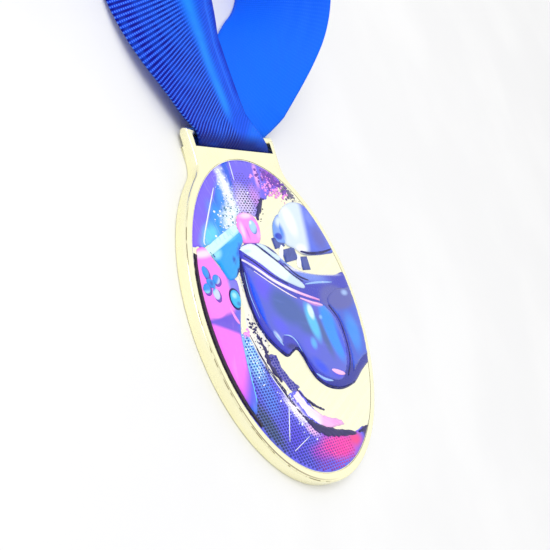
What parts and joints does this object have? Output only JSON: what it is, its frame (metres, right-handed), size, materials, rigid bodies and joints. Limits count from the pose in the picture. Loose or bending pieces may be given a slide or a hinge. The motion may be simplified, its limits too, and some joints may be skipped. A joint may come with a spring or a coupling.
{
  "type": "award medal",
  "caption": "Round gold award medal with a raised colour print of gaming gear, a slotted lug and a blue neck ribbon put away in a roll.",
  "frame": {"origin": "centre of the medal's flat back face", "axes": "+Z out of the printed face, +Y from the disc's centre towards the lug, +X to the right seen from the front"},
  "size_m": [0.0705, 0.1541, 0.0228],
  "materials": {
    "gold_plate": "polished",
    "face_metal": "gloss",
    "plate_metal": "satin",
    "film": "matte",
    "ink_violet": "gloss",
    "ink_navy": "gloss",
    "ink_white": "gloss",
    "ink_dark": "gloss",
    "ink_pink": "gloss",
    "ink_cyan": "gloss",
    "ink_blue": "gloss",
    "ribbon": "satin",
    "tape": "matte"
  },
  "bodies": {
    "ribbon": {"ribbon_strip": "ribbon", "ribbon_roll": "ribbon", "roll_tie": "tape"},
    "medal": {"medal_body": "gold_plate", "insert_adhesive": "film", "face_insert": "face_metal", "plate_adhesive": "film", "engraving_plate": "plate_metal", "ink_upper_panel": "ink_violet", "ink_lower_panel": "ink_navy", "ink_splash": "ink_white", "ink_brush_strokes": "ink_dark", "pad_shell": "ink_pink", "pad_touch_panel": "ink_cyan", "pad_direction_keys": "ink_cyan", "pad_thumb_stick": "ink_cyan", "pad_shoulder": "ink_pink", "pad_shoulder_key": "ink_cyan", "visor_body": "ink_blue", "visor_top_plate": "ink_white", "visor_trim": "ink_white", "head_cushion": "ink_blue", "cushion_arm": "ink_blue", "strap_struts": "ink_dark"}
  },
  "joints": [
    {"name": "medal_swing", "type": "hinge", "parent": "ribbon", "child": "medal", "pos_m": [0, 0.0384, 0.0017], "axis": [-1, 0, 0], "range_deg": [0, 90]}
  ]
}
